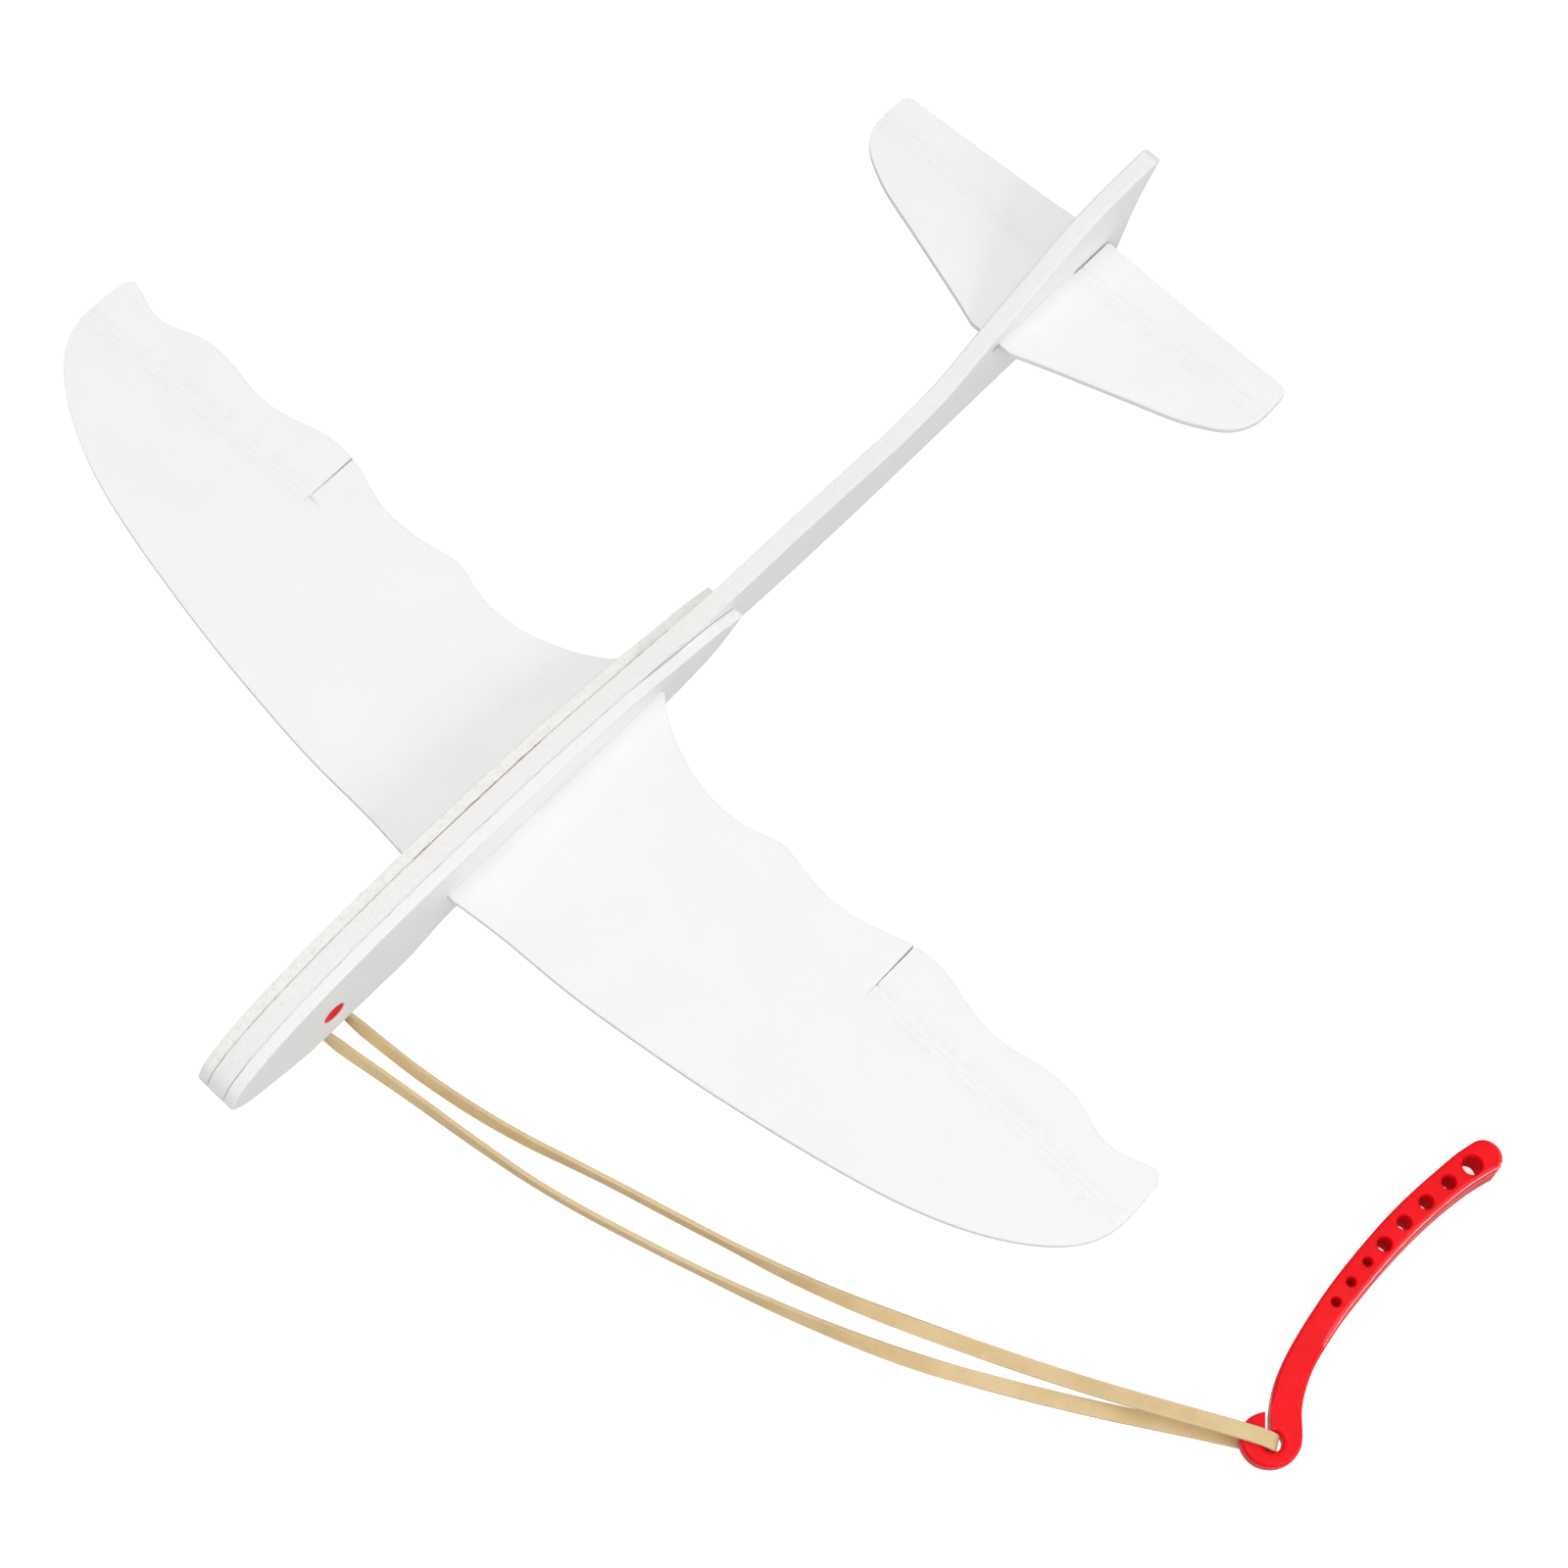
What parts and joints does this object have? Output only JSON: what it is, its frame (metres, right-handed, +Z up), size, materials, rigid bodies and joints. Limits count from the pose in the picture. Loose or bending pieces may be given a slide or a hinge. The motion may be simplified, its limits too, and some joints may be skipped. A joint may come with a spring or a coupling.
{
  "type": "rubber band launched foam glider",
  "caption": "Slender white foam glider with a scalloped wing, creased control flaps, a nose launch hook, a looped rubber band and a curved hooked hand grip with a row of holes.",
  "frame": {"origin": "on the plane of symmetry of the glider, on the vertical axis of the launch hook under the nose, at the level of the surface that the glider rests on", "axes": "+Z up, +Y aft towards the tail, +X towards the port (left) wing tip"},
  "size_m": [0.3752, 0.302, 0.0375],
  "materials": {
    "foam_core": "matte",
    "foam_cheek": "matte",
    "foam_sheet": "matte",
    "adhesive": "satin",
    "red_plastic": "satin",
    "band_rubber": "matte"
  },
  "bodies": {
    "airframe": {"fuselage_core": "foam_core", "cheek_left": "foam_cheek", "cheek_right": "foam_cheek", "adhesive_left": "adhesive", "adhesive_right": "adhesive", "wing_panel": "foam_sheet", "tailplane": "foam_sheet", "launch_hook": "red_plastic"},
    "aileron_left": {"aileron_left": "foam_sheet"},
    "aileron_right": {"aileron_right": "foam_sheet"},
    "elevator_left": {"elevator_left": "foam_sheet"},
    "elevator_right": {"elevator_right": "foam_sheet"},
    "band": {"rubber_band": "band_rubber"},
    "handle": {"launch_handle": "red_plastic"}
  },
  "joints": [
    {"name": "aileron_left_crease", "type": "hinge", "parent": "airframe", "child": "aileron_left", "pos_m": [0.0864, 0.0815, 0.016], "axis": [0.9996, -0.0277, 0], "range_deg": [-20, 30]},
    {"name": "aileron_right_crease", "type": "hinge", "parent": "airframe", "child": "aileron_right", "pos_m": [-0.0864, 0.0815, 0.016], "axis": [0.9996, 0.0277, 0], "range_deg": [-20, 30]},
    {"name": "elevator_left_crease", "type": "hinge", "parent": "airframe", "child": "elevator_left", "pos_m": [0.0029, 0.2441, 0.0204], "axis": [1, 0, 0], "range_deg": [-30, 30]},
    {"name": "elevator_right_crease", "type": "hinge", "parent": "airframe", "child": "elevator_right", "pos_m": [-0.0029, 0.2441, 0.0204], "axis": [1, 0, 0], "range_deg": [-30, 30]},
    {"name": "band_swing", "type": "hinge", "parent": "airframe", "child": "band", "pos_m": [0, 0, 0], "axis": [0, 0, 1], "range_deg": [-215, 40]},
    {"name": "band_pull", "type": "slide", "parent": "band", "child": "handle", "axis": [0.9522, 0.3056, 0], "range_m": [0, 0.2], "stiffness_N_per_m": 30, "deforming": ["rubber_band"]}
  ]
}
